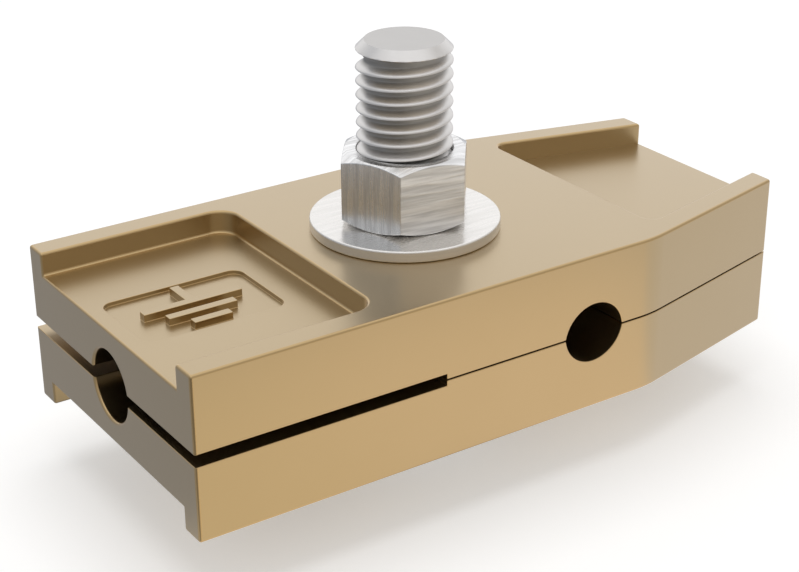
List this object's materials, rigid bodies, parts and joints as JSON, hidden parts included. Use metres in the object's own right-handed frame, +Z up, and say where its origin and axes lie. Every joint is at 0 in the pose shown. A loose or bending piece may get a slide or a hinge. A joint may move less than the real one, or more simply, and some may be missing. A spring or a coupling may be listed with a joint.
{
  "type": "earthing test clamp",
  "caption": "Split cast clamp on a through bolt: one conductor enters along it at the square end, a second one crosses between the halves near the tapered end.",
  "frame": {"origin": "on the end conductor's axis, in the plane of the square end", "axes": "+X along the clamp towards its tapered end, +Y across it, +Z up along the bolt towards the nut; the parting plane is Z = 0"},
  "size_m": [0.0904, 0.0422, 0.0541],
  "materials": {
    "cast_brass": "satin, as cast and blasted",
    "steel": "brushed"
  },
  "bodies": {
    "bolt": {"clamp_bolt": "steel", "lower_washer": "steel"},
    "lower_half": {"lower_clamp_half": "cast_brass"},
    "top_washer": {"upper_washer": "steel"},
    "nut": {"hex_nut": "steel"},
    "upper_half": {"upper_clamp_half": "cast_brass"}
  },
  "joints": [
    {"name": "clamp_open", "type": "slide", "parent": "bolt", "child": "top_washer", "axis": [0, 0, 1], "range_m": [0, 0.0127]},
    {"name": "nut_turn", "type": "hinge", "parent": "top_washer", "child": "nut", "pos_m": [0.0416, 0, 0.01192], "axis": [0, 0, 1], "range_deg": [0, 2612.5]},
    {"name": "upper_half_swing", "type": "hinge", "parent": "top_washer", "child": "upper_half", "pos_m": [0.0416, 0, 0.01042], "axis": [0, 0, 1], "continuous": true},
    {"name": "lower_half_swing", "type": "hinge", "parent": "bolt", "child": "lower_half", "pos_m": [0.0416, 0, -0.01042], "axis": [0, 0, 1], "continuous": true}
  ],
  "couplings": [
    {"joint": "nut_turn", "follows": "clamp_open", "rad_per_m": 3590.4}
  ]
}
